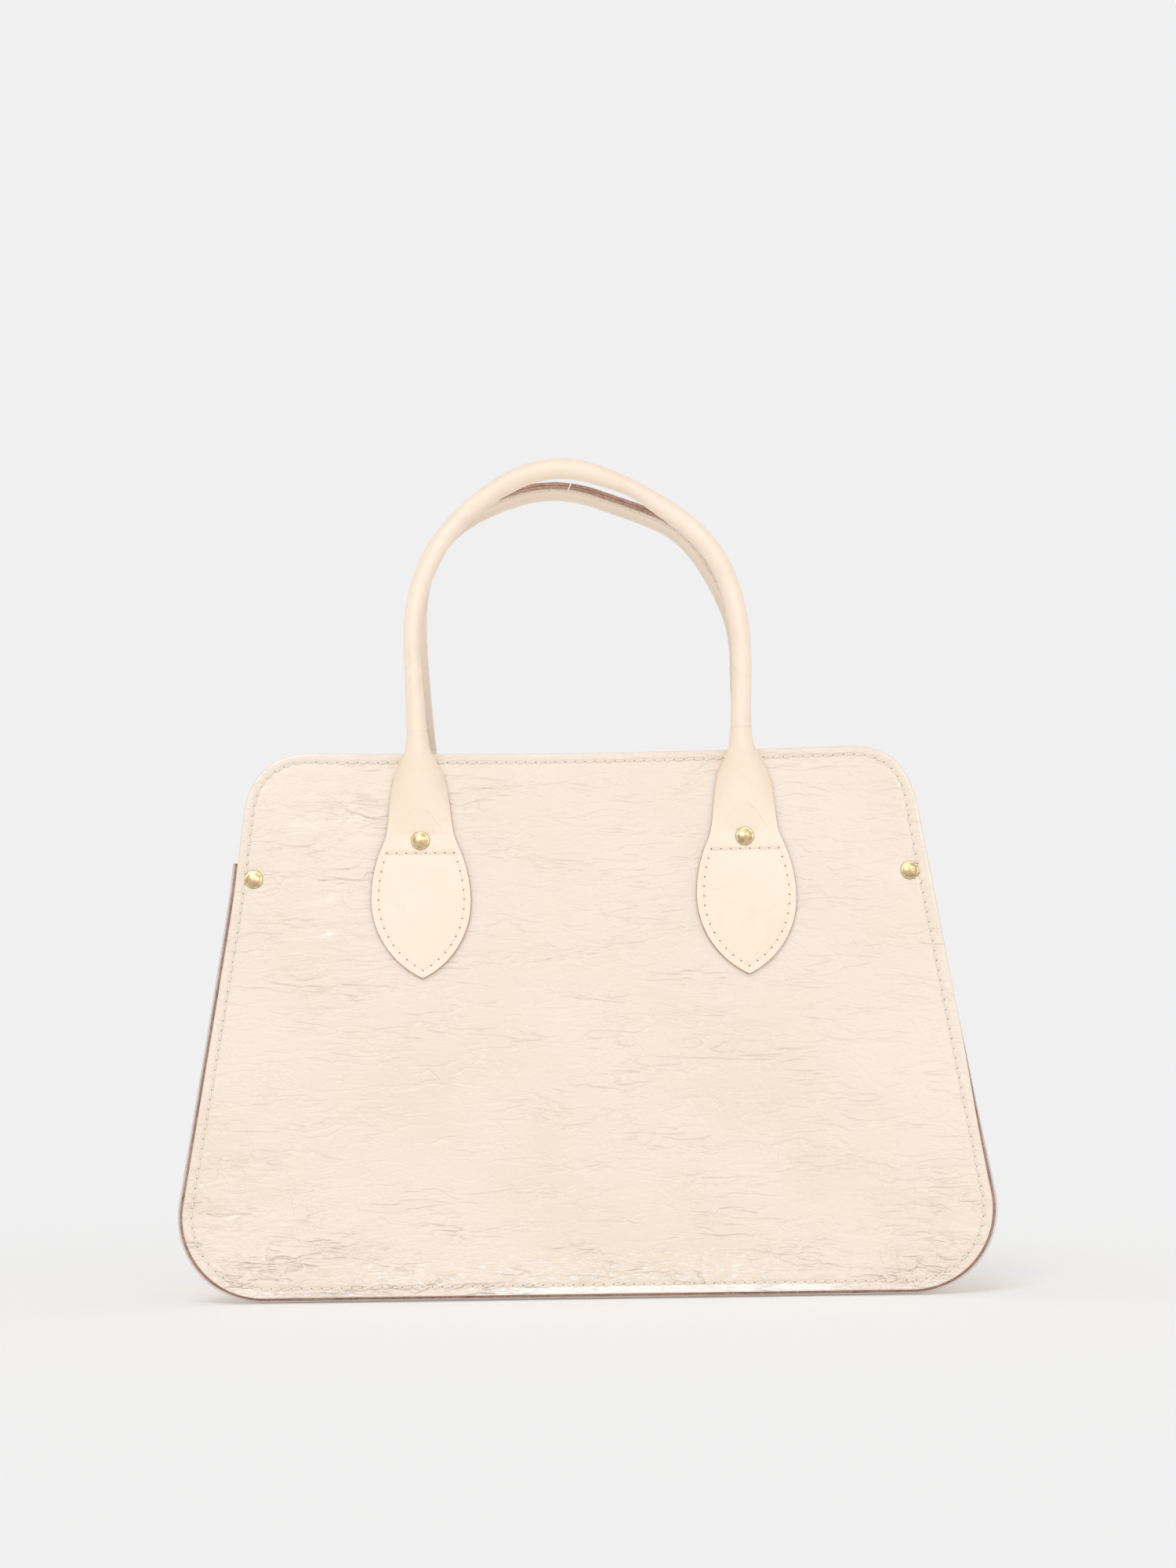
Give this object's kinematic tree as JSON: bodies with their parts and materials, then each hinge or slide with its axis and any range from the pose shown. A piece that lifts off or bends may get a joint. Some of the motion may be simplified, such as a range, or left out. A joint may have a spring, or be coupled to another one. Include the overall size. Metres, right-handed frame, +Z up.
{
  "type": "trapeze handbag",
  "caption": "Leather trapeze handbag with leaning trapezoid panels, an inset gusset with turned-out flanges, and rolled handles that open into riveted and stitched leaf tabs.",
  "frame": {"origin": "middle of the footprint, on the surface that the bag stands on", "axes": "+Z up along the bag's longest extent, +Y from the front panel to the rear one along its shortest extent, +X to the right of someone facing the front panel"},
  "size_m": [0.352, 0.1196, 0.3647],
  "materials": {
    "cream_leather": "semi-gloss, finely creased",
    "smooth_leather": "satin, smooth",
    "suede_lining": "matte, napped",
    "stiffening_board": "matte",
    "cotton_cord": "matte",
    "brass": "satin"
  },
  "bodies": {
    "bag_body": {"front_panel": "cream_leather", "rear_panel": "cream_leather", "front_lining": "suede_lining", "rear_lining": "suede_lining", "gusset": "cream_leather", "gusset_lining": "suede_lining", "base_board": "stiffening_board", "front_left_tab": "smooth_leather", "front_right_tab": "smooth_leather", "rear_left_tab": "smooth_leather", "rear_right_tab": "smooth_leather", "tab_rivet_caps": "brass", "tab_rivet_shanks": "brass", "side_rivet_caps": "brass", "side_rivet_shanks": "brass", "snap_nub": "brass", "snap_socket": "brass", "snap_plates": "brass"},
    "front_handle": {"front_handle_cover": "smooth_leather", "front_handle_cord": "cotton_cord"},
    "rear_handle": {"rear_handle_cover": "smooth_leather", "rear_handle_cord": "cotton_cord"}
  },
  "joints": [
    {"name": "front_handle_swing", "type": "hinge", "parent": "bag_body", "child": "front_handle", "pos_m": [0, -0.04051, 0.21051], "axis": [1, 0, 0], "range_deg": [0, 120]},
    {"name": "rear_handle_swing", "type": "hinge", "parent": "bag_body", "child": "rear_handle", "pos_m": [0, 0.04051, 0.21051], "axis": [-1, 0, 0], "range_deg": [0, 120]}
  ]
}
